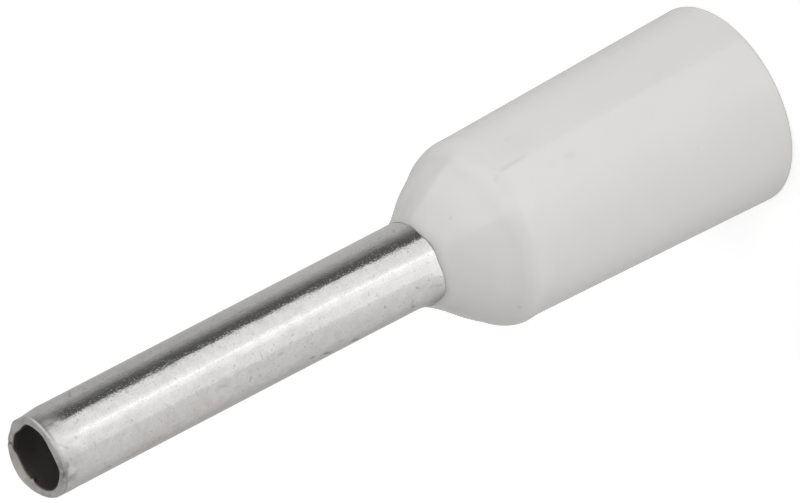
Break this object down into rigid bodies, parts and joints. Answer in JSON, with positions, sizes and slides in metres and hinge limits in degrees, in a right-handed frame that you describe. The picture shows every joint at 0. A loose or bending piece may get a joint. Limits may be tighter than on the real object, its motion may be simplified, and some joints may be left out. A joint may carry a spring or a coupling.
{
  "type": "wire ferrule",
  "caption": "Insulated crimp ferrule: a thin tinned sleeve with a flared inner end, held in a pale tapered collar that takes the wire's insulation.",
  "frame": {"origin": "centre of the collar's mouth, on the plane of its rim", "axes": "+Z along the axis, from the collar's mouth to the sleeve's cut tip; the ferrule is round, so X and Y are free"},
  "size_m": [0.0036, 0.0036, 0.015],
  "materials": {
    "sleeve": "satin",
    "collar": "satin"
  },
  "bodies": {
    "root": {"sleeve": "sleeve", "collar": "collar"}
  },
  "joints": []
}
